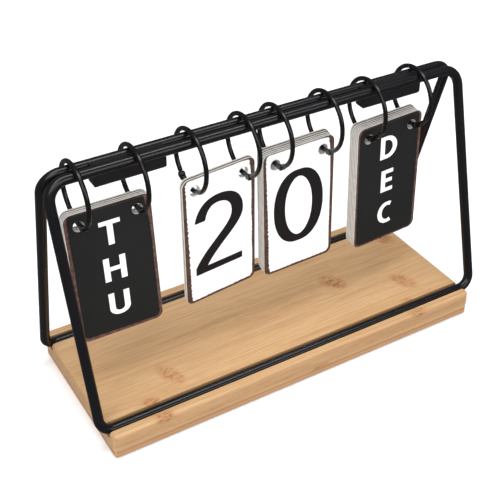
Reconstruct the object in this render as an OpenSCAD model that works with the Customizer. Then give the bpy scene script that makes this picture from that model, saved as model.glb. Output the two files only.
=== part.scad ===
// Flip desk calendar: a bamboo board with two wire frames leaning together, two clips that tie their
// top bars, and four pairs of book rings that carry day, tens, units and month cards.
// Millimetres. +X is the viewer's right, +Y is to the rear, +Z is up.
// The origin is the centre of the board's underside.

/* [Board] */
// length of the bamboo board, left to right
board_l = 280; // [250:1:310]
// depth of the board, front to back
board_d = 115.5; // [108:0.5:130]
// thickness of the board
board_t = 18.5; // [15:0.5:22]
// rounding along the edges of the board
edge_r = 2.2; // [0.5:0.1:4]
// rounding of the board's four upright corners
corner_r = 3.6; // [2.5:0.1:8]
// distance of each lower wire's centre from the middle of the board
groove_y = 47; // [44:0.5:49]
// width of the front groove
groove_w = 8.7; // [8:0.1:11]
// width of the rear groove
groove_rear_w = 8.2; // [8:0.1:11]
// distance of both grooves' front walls in front of their wires' centres
groove_front = 4.7; // [4:0.1:5]
// depth of each groove
groove_h = 6.2; // [3:0.1:7]

/* [Wire frames] */
// diameter of the frame wire
wire_d = 6.5; // [5:0.1:7]
// half the spacing of each frame's legs, to the wire's centre
leg_x = 146.3; // [144.5:0.1:150]
// how far both frames sit to the right of the board's middle
frame_shift = 2.9; // [-3:0.1:3]
// height of the top bars' centres above the table
bar_z = 171.5; // [165:0.5:180]
// distance of each top bar's centre from the middle plane
bar_y = 4.2; // [3.6:0.1:5]
// bend radius of the lower corners
bend_low = 9; // [7:0.5:14]
// bend radius of the upper corners
bend_high = 12; // [8:0.5:16]

/* [Clips] */
// length of each clip
clip_l = 46; // [36:1:50]
// centre of the left clip
clip_left_x = -92.2; // [-94:0.1:-90]
// centre of the right clip
clip_right_x = 95.6; // [92:0.1:97]
// how far the clip hangs below the bars' centres
clip_drop = 12.2; // [8:0.1:12.5]
// how far the tongue between the bars reaches above their centres
clip_lip = 2.6; // [2.2:0.1:2.9]
// width of the tongue's head
clip_head = 3.8; // [3:0.1:4]
// width of the clip below the bars
clip_w = 8.6; // [7:0.1:12]
// rounding of the clip's lower edges
clip_r = 3; // [1.5:0.1:3.4]
// rounding of the clip's lower corners at both ends
clip_end_r = 2.6; // [0.5:0.1:4]

/* [Rings] */
// radius of each ring, to the centre of its wire
ring_r = 20; // [19:0.1:22]
// diameter of the ring wire
ring_d = 3; // [2.6:0.1:3.2]
// angle of the hinge from the lowest point, towards the front
hinge_front = 24; // [20:1:32]
// angle of the hinge on the one ring that is turned round, towards the rear
hinge_rear = 38; // [32:1:50]

/* [Cards] */
// width of a card
card_w = 55.2; // [50:0.1:56]
// height of a card
card_h = 94.5; // [80:0.1:100]
// thickness of a card
card_t = 1.5; // [1:0.1:1.55]
// rounding of a card's corners
card_r = 5; // [2:0.5:8]
// diameter of the two holes
hole_d = 7; // [6.8:0.1:7.4]
// distance between the two holes' centres
hole_gap = 37; // [34:0.1:39]
// distance from the holes' centres to the card's top edge
hole_top = 9; // [7:0.1:10]

/* [Places of the stacks] */
// centre of the day cards
day_x = -108; // [-109:0.1:-107]
// centre of the tens cards
tens_x = -32.6; // [-34:0.1:-32]
// centre of the units cards
units_x = 26.8; // [26:0.1:28]
// centre of the month cards
month_x = 97.8; // [97:0.1:98.4]
// turn of the day cards seen from above
day_turn = -2.4; // [-4:0.1:4]
// turn of the tens cards seen from above
tens_turn = 6.3; // [-7:0.1:7]
// turn of the units cards seen from above
units_turn = 0.8; // [-4:0.1:4]
// turn of the month cards seen from above
month_turn = 2.9; // [-4:0.1:4]

// middle of the day rings
day_ring_x = -107.3; // [-108:0.1:-107]
// middle of the tens rings
tens_ring_x = -33.1; // [-34:0.1:-32]
// middle of the units rings
units_ring_x = 27; // [26:0.1:28]
// middle of the month rings
month_ring_x = 97.6; // [97:0.1:98.4]

/* [Hidden] */
$fn = 96;

bamboo = [0.80, 0.63, 0.42];
black = [0.09, 0.09, 0.1];
clip_black = [0.11, 0.11, 0.12];
rivet_grey = [0.2, 0.2, 0.21];
dark_card = [0.17, 0.17, 0.18];
light_card = [0.95, 0.94, 0.92];

overlap = 0.01;

// frames: the lower wires rest on the floor of the grooves
wire_r = wire_d / 2;
groove_z = board_t - groove_h;
wire_z = groove_z + wire_r;
lean = atan((groove_y - bar_y) / (bar_z - wire_z));
frame_l = sqrt(pow(groove_y - bar_y, 2) + pow(bar_z - wire_z, 2)); // lower wire to top bar

// rings
ring_wire_r = ring_d / 2;
hang_gap = 0.3; // running gap between a ring and the bars it hangs on
ring_z = bar_z - sqrt(pow(ring_r - ring_wire_r - wire_r - hang_gap, 2) - bar_y * bar_y);
wire_end = 6.6; // degrees of ring left out beside the rivet
snap_gap = 0.15; // half gap between the ring's two free ends, degrees

// ring hinge: a tongue between two cheeks on a rivet
knuckle_r = 1.95;
hinge_r = ring_r + 0.5; // the rivet sits just outside the wire's circle
cheek_in = 0.65;
cheek_out = 1.7;
tongue = 0.6; // half the tongue's thickness
root_l = 3.3; // block that joins a knuckle to its wire
root_h = 2.5;
root_z = -1.15;
rivet_r = 0.7;
rivet_head_r = 1.25;
rivet_head_t = 0.35;
bore_x = 3; // half the length of the rivet's bore

// peg on the gate and its socket in the carrier; each starts behind the free ends
peg_r = 0.8;
peg_l = 2.1;
peg_start = -0.8;
socket_r = 0.87;
socket_l = 2.6;
socket_start = -1;

// Stacks, one row each:
// cards' x, rings' x, turn about Z, tilt about X, roll about Y (clockwise seen from the front),
// front card's y, card spacing, drop of the holes below the ring wire's centre, card colour
stacks = [
    [day_x, day_ring_x, day_turn, -1.5, 1.4, -1.2, 1.66, 0.45, dark_card],
    [tens_x, tens_ring_x, tens_turn, -0.4, 0, -0.15, 2.2, 0.2, light_card],
    [units_x, units_ring_x, units_turn, -0.7, 0.9, 0.4, 1.66, 0.75, light_card],
    [month_x, month_ring_x, month_turn, -1.6, 0.75, -2.2, 1.66, 1.1, dark_card],
];
DAY = 0;
TENS = 1;
UNITS = 2;
MONTH = 3;
LEFT = -1;
RIGHT = 1;

// ---------- board ----------
module round_rect(width, height, radius) {
    square([width - 2 * radius, height], center = true);
    square([width, height - 2 * radius], center = true);
    for (x = [-1, 1], y = [-1, 1])
        translate([x * (width / 2 - radius), y * (height / 2 - radius)]) circle(radius);
}

// the board's outlines from above, from the end and from the front, intersected
module board_blank() {
    intersection() {
        linear_extrude(board_t) round_rect(board_l, board_d, corner_r);
        translate([-board_l / 2, 0, board_t / 2]) rotate([90, 0, 90])
            linear_extrude(board_l) round_rect(board_d, board_t, edge_r);
        translate([0, board_d / 2, board_t / 2]) rotate([90, 0, 0])
            linear_extrude(board_d) round_rect(board_l, board_t, edge_r);
    }
}

module groove(wire_y, width) {
    translate([-board_l / 2 - 1, wire_y - groove_front, groove_z])
        cube([board_l + 2, width, groove_h + 1]);
}

module base_board() {
    color(bamboo) difference() {
        board_blank();
        groove(-groove_y, groove_w);
        groove(groove_y, groove_rear_w);
    }
}

// ---------- wire frames ----------
module wire_bend(radius) {
    rotate_extrude(angle = 90) translate([radius, 0]) circle(wire_r);
}

// one closed loop, lying in XY: the lower wire along X at y = 0, the top bar at y = frame_l
module wire_loop() {
    for (bar = [[0, bend_low], [frame_l, bend_high]]) {
        half_l = leg_x - bar[1];
        translate([-half_l, bar[0], 0]) rotate([0, 90, 0]) cylinder(r = wire_r, h = 2 * half_l);
    }
    for (side = [LEFT, RIGHT]) {
        translate([side * leg_x, bend_low, 0]) rotate([-90, 0, 0])
            cylinder(r = wire_r, h = frame_l - bend_low - bend_high);
        translate([side * (leg_x - bend_low), bend_low, 0])
            rotate([0, 0, side > 0 ? -90 : 180]) wire_bend(bend_low);
        translate([side * (leg_x - bend_high), frame_l - bend_high, 0])
            rotate([0, 0, side > 0 ? 0 : 90]) wire_bend(bend_high);
    }
}

// the loop stood in the front groove, leaning to the rear
module leaning_loop() {
    translate([frame_shift, -groove_y, wire_z]) rotate([90 - lean, 0, 0]) wire_loop();
}

module front_frame() {
    color(black) leaning_loop();
}

module rear_frame() {
    color(black) mirror([0, 1, 0]) leaning_loop();
}

// ---------- clips ----------
// cross-section that cradles both top bars from below, with a tongue up between them;
// the origin is midway between the bars' centres
module clip_section() {
    bar_gap = 0.05;
    difference() {
        union() {
            translate([-clip_w / 2, clip_r - clip_drop]) square([clip_w, clip_drop - clip_r]);
            translate([clip_r - clip_w / 2, -clip_drop])
                square([clip_w - 2 * clip_r, clip_r + overlap]);
            for (side = [-1, 1])
                translate([side * (clip_w / 2 - clip_r), clip_r - clip_drop]) circle(clip_r);
            translate([-clip_head / 2, -overlap]) square([clip_head, clip_lip + overlap]);
        }
        for (side = [-1, 1]) translate([side * bar_y, 0]) circle(wire_r + bar_gap);
    }
}

// the clip's outline seen from the front, with rounded lower corners
module clip_outline() {
    spare_h = 4; // extra height, so that only the lower corners are trimmed
    lower_h = 8; // height of the part between the rounded corners
    translate([-clip_l / 2, clip_end_r - clip_drop]) square([clip_l, clip_drop + spare_h]);
    translate([clip_end_r - clip_l / 2, -clip_drop]) square([clip_l - 2 * clip_end_r, lower_h]);
    for (side = [LEFT, RIGHT])
        translate([side * (clip_l / 2 - clip_end_r), clip_end_r - clip_drop]) circle(clip_end_r);
}

module clip(x) {
    outline_d = 24; // more than the clip's depth
    color(clip_black) translate([x, 0, bar_z]) intersection() {
        translate([-clip_l / 2, 0, 0]) rotate([90, 0, 90]) linear_extrude(clip_l) clip_section();
        translate([0, outline_d / 2, 0]) rotate([90, 0, 0])
            linear_extrude(outline_d) clip_outline();
    }
}

module clip_left() { clip(clip_left_x); }
module clip_right() { clip(clip_right_x); }

// ---------- rings ----------
// Angles go round the ring from its lowest point, positive towards the rear.
// The left ring of the tens cards is hung the other way round.
function turned_round(stack, side) = stack == TENS && side == LEFT;
function hinge_angle(stack, side) = turned_round(stack, side) ? hinge_rear : -hinge_front;
// the side the gate is on: 1 rear, -1 front
function gate_side(stack, side) = turned_round(stack, side) ? 1 : -1;

// moves to the centre of one ring
module on_ring(stack, side) {
    middle = stacks[stack][1];
    turn = stacks[stack][2];
    translate([middle + side * hole_gap / 2 * cos(turn), 0, ring_z]) children();
}

module ring_arc(from, to) {
    rotate([90, 0, 90]) rotate([0, 0, from - 90])
        rotate_extrude(angle = to - from) translate([ring_r, 0]) circle(ring_wire_r);
}

// half a ring, from the hinge to the free end; way is 1 towards greater angles, -1 towards lesser
module half_ring(hinge, way) {
    if (way > 0) ring_arc(hinge + wire_end, hinge + 180 - snap_gap);
    else ring_arc(hinge - 180 + snap_gap, hinge - wire_end);
}

// puts +Y along the wire (towards greater angles) and -Z outwards, with the origin on the circle
module at_angle(angle, radius) {
    rotate([angle, 0, 0]) translate([0, 0, -radius]) children();
}

module disc(radius, x_from, x_to) {
    translate([x_from, 0, 0]) rotate([0, 90, 0]) cylinder(r = radius, h = x_to - x_from);
}

// one leaf of the hinge and the block that joins it to its half ring
module knuckle(x_from, x_to, way) {
    disc(knuckle_r, x_from, x_to);
    translate([x_from, way > 0 ? 0 : -root_l, root_z]) cube([x_to - x_from, root_l, root_h]);
}

module rivet_bore(hinge, gap) {
    at_angle(hinge, hinge_r) disc(rivet_r + gap, -bore_x, bore_x);
}

// a rod along the wire at the free ends, pointing from the gate into the carrier
module free_end_rod(angle, gate, radius, start, length) {
    at_angle(angle, ring_r) rotate([-90 * gate, 0, 0])
        translate([0, 0, start]) cylinder(r = radius, h = length);
}

// the half opposite the gate, with the hinge cheeks and the socket
module ring_carrier(stack, side) {
    hinge = hinge_angle(stack, side);
    gate = gate_side(stack, side);
    on_ring(stack, side) color(black) difference() {
        union() {
            half_ring(hinge, -gate);
            at_angle(hinge, hinge_r)
                for (flip = [0, 1]) mirror([flip, 0, 0]) knuckle(cheek_in, cheek_out, -gate);
        }
        rivet_bore(hinge, gap = 0.02);
        free_end_rod(hinge - 180 * gate, gate, socket_r, socket_start, socket_l);
    }
}

// the half that swings open, with the hinge tongue and the peg
module ring_gate(stack, side) {
    hinge = hinge_angle(stack, side);
    gate = gate_side(stack, side);
    on_ring(stack, side) color(black) difference() {
        union() {
            half_ring(hinge, gate);
            at_angle(hinge, hinge_r) knuckle(-tongue, tongue, gate);
            free_end_rod(hinge + 180 * gate, gate, peg_r, peg_start, peg_l);
        }
        rivet_bore(hinge, gap = 0.05);
    }
}

module ring_rivet(stack, side) {
    on_ring(stack, side) color(rivet_grey) at_angle(hinge_angle(stack, side), hinge_r) {
        disc(rivet_r, -cheek_out, cheek_out);
        disc(rivet_head_r, cheek_out, cheek_out + rivet_head_t);
        disc(rivet_head_r, -cheek_out - rivet_head_t, -cheek_out);
    }
}

module day_ring_left_carrier() { ring_carrier(DAY, LEFT); }
module day_ring_left_gate() { ring_gate(DAY, LEFT); }
module day_ring_left_rivet() { ring_rivet(DAY, LEFT); }
module day_ring_right_carrier() { ring_carrier(DAY, RIGHT); }
module day_ring_right_gate() { ring_gate(DAY, RIGHT); }
module day_ring_right_rivet() { ring_rivet(DAY, RIGHT); }
module tens_ring_left_carrier() { ring_carrier(TENS, LEFT); }
module tens_ring_left_gate() { ring_gate(TENS, LEFT); }
module tens_ring_left_rivet() { ring_rivet(TENS, LEFT); }
module tens_ring_right_carrier() { ring_carrier(TENS, RIGHT); }
module tens_ring_right_gate() { ring_gate(TENS, RIGHT); }
module tens_ring_right_rivet() { ring_rivet(TENS, RIGHT); }
module units_ring_left_carrier() { ring_carrier(UNITS, LEFT); }
module units_ring_left_gate() { ring_gate(UNITS, LEFT); }
module units_ring_left_rivet() { ring_rivet(UNITS, LEFT); }
module units_ring_right_carrier() { ring_carrier(UNITS, RIGHT); }
module units_ring_right_gate() { ring_gate(UNITS, RIGHT); }
module units_ring_right_rivet() { ring_rivet(UNITS, RIGHT); }
module month_ring_left_carrier() { ring_carrier(MONTH, LEFT); }
module month_ring_left_gate() { ring_gate(MONTH, LEFT); }
module month_ring_left_rivet() { ring_rivet(MONTH, LEFT); }
module month_ring_right_carrier() { ring_carrier(MONTH, RIGHT); }
module month_ring_right_gate() { ring_gate(MONTH, RIGHT); }
module month_ring_right_rivet() { ring_rivet(MONTH, RIGHT); }

// ---------- cards ----------
// an upright card; the origin is midway between its holes
module card_blank() {
    translate([0, card_t / 2, 0]) rotate([90, 0, 0]) linear_extrude(card_t) difference() {
        translate([0, hole_top - card_h / 2]) round_rect(card_w, card_h, card_r);
        for (side = [LEFT, RIGHT]) translate([side * hole_gap / 2, 0]) circle(hole_d / 2);
    }
}

// a card hung on its pair of rings; number 1 is the front one
module card(stack, number) {
    place = stacks[stack];
    x = place[0];
    turn = place[2];
    tilt = place[3];
    roll = place[4];
    y = place[5] + (number - 1) * place[6];
    drop = place[7];
    translate([x, 0, ring_z]) rotate([tilt, 0, 0])
        translate([0, y, -sqrt(ring_r * ring_r - y * y) - drop])
        rotate([0, 0, turn]) rotate([0, -roll, 0])
        color(place[8]) card_blank();
}

module day_card_1() { card(DAY, 1); }
module day_card_2() { card(DAY, 2); }
module day_card_3() { card(DAY, 3); }
module day_card_4() { card(DAY, 4); }
module tens_card_1() { card(TENS, 1); }
module tens_card_2() { card(TENS, 2); }
module units_card_1() { card(UNITS, 1); }
module units_card_2() { card(UNITS, 2); }
module units_card_3() { card(UNITS, 3); }
module units_card_4() { card(UNITS, 4); }
module units_card_5() { card(UNITS, 5); }
module month_card_1() { card(MONTH, 1); }
module month_card_2() { card(MONTH, 2); }
module month_card_3() { card(MONTH, 3); }
module month_card_4() { card(MONTH, 4); }
module month_card_5() { card(MONTH, 5); }
module month_card_6() { card(MONTH, 6); }

base_board();
front_frame();
rear_frame();
clip_left();
clip_right();
day_ring_left_carrier();
day_ring_left_gate();
day_ring_left_rivet();
day_ring_right_carrier();
day_ring_right_gate();
day_ring_right_rivet();
tens_ring_left_carrier();
tens_ring_left_gate();
tens_ring_left_rivet();
tens_ring_right_carrier();
tens_ring_right_gate();
tens_ring_right_rivet();
units_ring_left_carrier();
units_ring_left_gate();
units_ring_left_rivet();
units_ring_right_carrier();
units_ring_right_gate();
units_ring_right_rivet();
month_ring_left_carrier();
month_ring_left_gate();
month_ring_left_rivet();
month_ring_right_carrier();
month_ring_right_gate();
month_ring_right_rivet();
day_card_1();
day_card_2();
day_card_3();
day_card_4();
tens_card_1();
tens_card_2();
units_card_1();
units_card_2();
units_card_3();
units_card_4();
units_card_5();
month_card_1();
month_card_2();
month_card_3();
month_card_4();
month_card_5();
month_card_6();
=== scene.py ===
import math
import random

import bmesh
import bpy
import numpy as np
from mathutils import Matrix, Vector
from mathutils.geometry import delaunay_2d_cdt


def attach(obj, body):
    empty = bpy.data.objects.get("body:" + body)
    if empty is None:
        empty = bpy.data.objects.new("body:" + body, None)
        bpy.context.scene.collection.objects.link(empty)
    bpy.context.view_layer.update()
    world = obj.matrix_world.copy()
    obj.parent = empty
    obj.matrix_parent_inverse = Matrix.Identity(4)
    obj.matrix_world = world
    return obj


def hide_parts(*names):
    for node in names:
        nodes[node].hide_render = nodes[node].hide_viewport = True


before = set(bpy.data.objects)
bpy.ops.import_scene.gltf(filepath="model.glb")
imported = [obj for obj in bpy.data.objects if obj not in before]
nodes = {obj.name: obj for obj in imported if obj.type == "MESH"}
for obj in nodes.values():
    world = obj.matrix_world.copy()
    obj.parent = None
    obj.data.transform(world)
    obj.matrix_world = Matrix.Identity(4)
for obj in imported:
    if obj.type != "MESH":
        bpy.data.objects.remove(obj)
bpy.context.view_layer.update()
scene = bpy.context.scene

MM = 0.001

# bamboo board
STRIP_WIDTH = 22.0                       # lamellas side by side along Y
STRIP_SHIFT = 10.9 + 10 * STRIP_WIDTH    # puts the glue lines in place, numbers all positive
PLY_JOINT_Z = 4.9                        # top of the thin ply below

# cards
CARD_WIDTH, CARD_HEIGHT, CARD_CORNER = 55.2, 94.5, 5.0
OUTLINE_POINTS = 300
HOLE_POINTS = 40
FILM = 0.05                              # thickness of the printed film
LAYER_JOINT = 0.24                       # joints in the cut edge, either side of mid-thickness
INK_PROUD, INK_SUNK = 0.035, 0.02

# lettering: stroke weights, upright and crossing
CAP_HEIGHT = 17.2
HALF_STEM, HALF_BAR = 1.9, 1.5
CAP_TOP = CAP_HEIGHT - HALF_BAR          # centre line of a top bar
DIGIT_HEIGHT = 56.4
DIGIT_STEM, DIGIT_BAR = 8.9, 5.3


# ------------------------------------------------------------------ material kit
class Value:
    """A shader socket that takes ordinary arithmetic; each operation adds a node."""

    def __init__(self, material, socket):
        self.material = material
        self.socket = socket

    def math(self, operation, other=0.0):
        return self.material.math(operation, self, other)

    def __add__(self, other):
        return self.math("ADD", other)

    def __sub__(self, other):
        return self.math("SUBTRACT", other)

    def __rsub__(self, other):
        return self.material.math("SUBTRACT", other, self)

    def __mul__(self, other):
        return self.math("MULTIPLY", other)

    def __truediv__(self, other):
        return self.math("DIVIDE", other)

    def __abs__(self):
        return self.math("ABSOLUTE")

    def swing(self, by):
        """Centre a 0 to 1 value on zero and scale it."""
        return (self - 0.5) * by

    def step(self, off, on):
        """0 at off, 1 at on, smooth between; off may be above on."""
        if off < on:
            source, to = (off, on), (0.0, 1.0)
        else:
            source, to = (on, off), (1.0, 0.0)
        return self.remap(to, source, interpolation_type="SMOOTHSTEP")

    def remap(self, to, source=(0.3, 0.7), **settings):
        inputs = {"Value": self, 1: source[0], 2: source[1], 3: to[0], 4: to[1]}
        return self.material.add_node("MapRange", inputs, **settings)


class Mat:
    """A builder for node materials. Positions inside a material are in millimetres."""

    def __init__(self, name):
        self.material = bpy.data.materials.new(name)
        self.material.use_nodes = True
        self.tree = self.material.node_tree
        self.tree.nodes.clear()
        output = self.tree.nodes.new("ShaderNodeOutputMaterial")
        self.shader = self.tree.nodes.new("ShaderNodeBsdfPrincipled")
        self.tree.links.new(self.shader.outputs[0], output.inputs[0])
        coordinates = self.add_node("TexCoord", {}, output="Object")
        self.place = self.vector("MULTIPLY", coordinates, (1000, 1000, 1000))

    def put(self, socket, value):
        """Link a Value to a socket, or set a number or tuple on it."""
        if isinstance(value, Value):
            self.tree.links.new(value.socket, socket)
            return
        if isinstance(value, tuple) and len(value) == 3 and len(socket.default_value) == 4:
            value += (1.0,)
        socket.default_value = value

    def add_node(self, kind, inputs, output=0, **settings):
        node = self.tree.nodes.new("ShaderNode" + kind)
        for key, value in settings.items():
            setattr(node, key, value)
        for key, value in inputs.items():
            self.put(node.inputs[key], value)
        return Value(self, node.outputs[output])

    def math(self, operation, first, second):
        return self.add_node("Math", {0: first, 1: second}, operation=operation)

    def vector(self, operation, first, second):
        return self.add_node("VectorMath", {0: first, 1: second}, "Vector", operation=operation)

    def length(self, vector):
        return self.add_node("VectorMath", {0: vector}, "Value", operation="LENGTH")

    def split(self, vector):
        node = self.add_node("SeparateXYZ", {0: vector}).socket.node
        return [Value(self, output) for output in node.outputs]

    def combine(self, x, y, z):
        return self.add_node("CombineXYZ", {0: x, 1: y, 2: z})

    def noise(self, at=None, scale=1.0, detail=3.0, roughness=0.5, stretch=None):
        at = at or self.place
        if stretch:
            at = self.vector("MULTIPLY", at, stretch)
        return self.add_node("TexNoise", {
            "Vector": at, "Scale": scale, "Detail": detail, "Roughness": roughness})

    def random(self, number):
        return self.add_node("TexWhiteNoise", {"W": number}, noise_dimensions="1D")

    def mix(self, factor, under, over, blend="MIX"):
        return self.add_node("Mix", {0: factor, 6: under, 7: over}, 2,
                             data_type="RGBA", blend_type=blend)

    def stain(self, colour, mask, tint, strength=None):
        """Lay a tint over a colour where the mask is on."""
        if strength is not None:
            mask = mask * strength
        return self.mix(mask, colour, tint)

    def ramp(self, factor, stops):
        value = self.add_node("ValToRGB", {0: factor})
        elements = value.socket.node.color_ramp.elements
        while len(elements) < len(stops):
            elements.new(0.5)
        for element, (position, colour) in zip(elements, stops):
            element.position = position
            element.color = colour + (1.0,)
        return value

    def surface(self, colour, roughness, specular, **others):
        inputs = {"Base Color": colour, "Roughness": roughness, "Specular IOR Level": specular}
        inputs.update((key.replace("_", " "), value) for key, value in others.items())
        for key, value in inputs.items():
            self.put(self.shader.inputs[key], value)

    def relief(self, height, depth, strength):
        """Bump the surface; depth is in mm."""
        normal = self.add_node("Bump", {
            "Strength": strength, "Distance": depth * MM, "Height": height})
        self.put(self.shader.inputs["Normal"], normal)


def srgb(*channels):
    return tuple(
        ((c / 255 + 0.055) / 1.055) ** 2.4 if c > 10 else c / 255 / 12.92 for c in channels)


# ------------------------------------------------------------------ bamboo
# Brown patches where the culm had a node:
# centre x, y, z, half-lengths along x, y, z, and the slant of x with y
CULM_NODES = [
    (-84.6, -24.7, 18.5, 7.5, 12.5, 9.0, 0.33), (-106.4, -40.4, 18.5, 7.0, 4.5, 9.0, 0.2),
    (-105.0, -56.0, 18.0, 8.5, 5.5, 6.0, 0.25), (62.0, 2.6, 18.5, 9.5, 12.5, 9.0, 0.33),
    (107.4, -22.6, 18.5, 8.0, 12.0, 9.0, 0.3), (95.0, -43.0, 18.5, 6.0, 4.0, 9.0, 0.2),
    (94.0, -55.5, 18.5, 8.0, 5.0, 6.0, 0.25), (12.0, -57.8, 6.4, 8.5, 5.0, 2.4, 0.0),
    (128.0, 26.0, 18.5, 8.0, 8.5, 9.0, 0.3), (32.0, 45.0, 18.5, 7.0, 9.0, 9.0, 0.25),
    (-70.0, 54.0, 17.0, 8.0, 6.0, 6.0, 0.2), (88.0, 57.6, 6.0, 8.0, 5.0, 3.0, 0.0),
    (-25.0, 57.6, 11.0, 6.0, 4.0, 3.0, 0.0), (-60.0, -20.0, 0.0, 8.0, 10.0, 3.0, 0.3),
    (70.0, 25.0, 0.0, 8.0, 10.0, 3.0, 0.3), (10.0, -45.0, 0.0, 8.0, 10.0, 3.0, 0.3),
]


def culm_patches(mat, x, y, z):
    """1 inside the culm node patches, fading to 0 round them."""
    patches = None
    for centre_x, centre_y, centre_z, half_x, half_y, half_z, slant in CULM_NODES:
        along = (x - centre_x + (y - centre_y) * slant) / half_x
        across = (y - centre_y) / half_y
        distance = mat.length(mat.combine(along, across, (z - centre_z) / half_z))
        patch = distance.step(off=1.15, on=0.35)
        patches = patch if patches is None else patches.math("MAXIMUM", patch)
    return patches


def make_bamboo():
    mat = Mat("bamboo")
    x, y, z = mat.split(mat.place)
    normal = mat.add_node("NewGeometry", {}, output="True Normal")
    normal_x, normal_y, _ = mat.split(normal)
    end = abs(normal_x).step(off=0.6, on=0.85)
    side = abs(normal_y).step(off=0.6, on=0.85)

    def strips():
        return (y + STRIP_SHIFT) / STRIP_WIDTH

    # two random numbers for each lamella, the lower ply numbered apart;
    # they shift the grain by up to so many mm
    strip = strips().math("FLOOR")
    lower_ply = z.math("LESS_THAN", PLY_JOINT_Z)
    lamella = strip + lower_ply * 31.0
    chance = mat.random(lamella)
    chance_2 = mat.random(lamella + 57.3)
    shift = mat.combine(chance * 400.0, chance_2 * 90.0, chance * 70.0)
    shifted = mat.vector("ADD", mat.place, shift)
    wave = mat.noise(shifted, stretch=(0.011, 0.03, 0.03), detail=1.0).swing(by=5.0)
    grain = mat.vector("ADD", shifted, mat.combine(0.0, wave, wave))
    fine = mat.noise(grain, stretch=(0.035, 2.6, 2.6), roughness=0.6)
    medium = mat.noise(grain, stretch=(0.012, 0.75, 0.75), roughness=0.55)
    broad = mat.noise(grain, stretch=(0.006, 0.12, 0.12), detail=2.0)
    # the three weights add up to 1
    colour = mat.ramp(fine * 0.44 + (medium * 0.38 + broad * 0.18), [
        (0.30, srgb(168, 124, 84)),
        (0.44, srgb(187, 145, 103)),
        (0.52, srgb(198, 158, 116)),
        (0.62, srgb(205, 167, 126)),
        (0.78, srgb(213, 178, 138)),
    ])

    # tone of each lamella, in red, green and blue
    tone = chance.remap(source=(0.0, 1.0), to=(0.955, 1.035))
    green = tone * chance_2.remap(source=(0.0, 1.0), to=(0.985, 1.01))
    blue = tone * chance_2.remap(source=(0.0, 1.0), to=(0.95, 1.02))
    colour = mat.mix(1.0, colour, mat.combine(tone, green, blue), blend="MULTIPLY")

    # thin dark fibre dashes
    dash = mat.noise(grain, stretch=(0.09, 5.0, 5.0), detail=2.0).step(off=0.635, on=0.70)
    colour = mat.stain(colour, dash, srgb(150, 103, 62), strength=0.28)

    # glue lines between strips, fading in and out along X
    from_joint = abs((strips() + 0.5).math("FRACT") - 0.5) * STRIP_WIDTH
    fade = mat.noise(stretch=(0.03, 0.0, 0.0), detail=1.0)
    fade = fade.remap(source=(0.35, 0.65), to=(0.15, 0.6))
    glue = from_joint.step(off=0.26, on=0.05) * fade
    colour = mat.stain(colour, glue * (1.0 - side), srgb(146, 102, 66))

    # bands along the ply joint on the upright faces: pale above, warm below, dark on the joint
    level = z + mat.noise(stretch=(0.02, 0.02, 0.3), detail=1.0).swing(by=0.7)
    walls = side.math("MAXIMUM", end)
    for band, strength, tint in (
        (abs(level - 7.0).step(off=1.3, on=0.3), 0.45, srgb(212, 178, 134)),
        (level.step(off=4.6, on=3.4), 0.5, srgb(201, 150, 108)),
        (abs(level - PLY_JOINT_Z).step(off=1.05, on=0.45), 0.62, srgb(168, 122, 80)),
    ):
        colour = mat.stain(colour, band * strength * walls, tint)

    # end grain: small dark vessels
    cells = mat.add_node("TexVoronoi", {
        "Vector": mat.vector("MULTIPLY", mat.place, (0.02, 1.5, 1.5)), "Scale": 1.0})
    vessels = cells.step(off=0.30, on=0.12) * end
    colour = mat.stain(colour, vessels, srgb(150, 108, 72), strength=0.30)

    # culm nodes: a blotchy halo with short brown dashes in it
    patches = culm_patches(mat, x, y, z)
    dashes = mat.noise(stretch=(0.30, 1.15, 1.15), detail=2.0, roughness=0.6)
    dashes = dashes.step(off=0.51, on=0.59)
    blotch = mat.noise(stretch=(0.13, 0.2, 0.2), detail=2.0).step(off=0.35, on=0.65)
    halo = patches * blotch.remap(source=(0.0, 1.0), to=(0.20, 0.66))
    colour = mat.stain(colour, halo, srgb(178, 121, 74))
    dashes = patches * patches.step(off=0.15, on=0.6) * dashes
    colour = mat.stain(colour, dashes, srgb(142, 86, 46), strength=0.78)

    # painted shade: a touch darker at the foot, where the rounded bottom edge turns from the
    # light
    colour = mat.stain(colour, z.step(off=1.6, on=0.0), srgb(168, 124, 92), strength=0.35)

    # painted shade: the wood is darkened by how each face is turned to the light, top and
    # bottom, ends, then front and back darkest
    painted_shade = mat.mix(end, (0.90, 0.913, 0.885), (0.92, 0.91, 0.90))
    painted_shade = mat.mix(side, painted_shade, (0.80, 0.785, 0.74))
    colour = mat.mix(1.0, colour, painted_shade, blend="MULTIPLY")
    mat.surface(colour, roughness=fine.remap(to=(0.60, 0.46)) + broad.swing(by=0.12),
                specular=0.38, Coat_Weight=0.08, Coat_Roughness=0.35)
    # grain stands up by these shares, dashes and glue lines sink
    height = fine * 0.6 + medium * 0.5 - (dash + glue) * 0.25
    mat.relief(height, depth=0.05, strength=0.8)
    return mat.material


# ------------------------------------------------------------------ black parts
def make_powder():
    mat = Mat("powder_coat")
    pebbles = mat.noise(scale=1.7, detail=2.0)
    grit = mat.noise(scale=6.5, detail=2.0)
    cloud = mat.noise(scale=0.06, roughness=0.6)
    scuff = mat.noise(stretch=(0.35, 1.6, 1.6), detail=4.0, roughness=0.65)
    scuff = scuff.step(off=0.66, on=0.76)
    colour = mat.mix(cloud, srgb(13, 12, 14), srgb(18, 17, 20))
    colour = mat.stain(colour, scuff, srgb(58, 56, 58), strength=0.2)
    # scuffs are rougher
    mat.surface(colour, roughness=cloud.remap(to=(0.20, 0.27)) + scuff * 0.12, specular=0.36)
    mat.relief(pebbles + grit * 0.35, depth=0.035, strength=0.75)
    return mat.material


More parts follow.
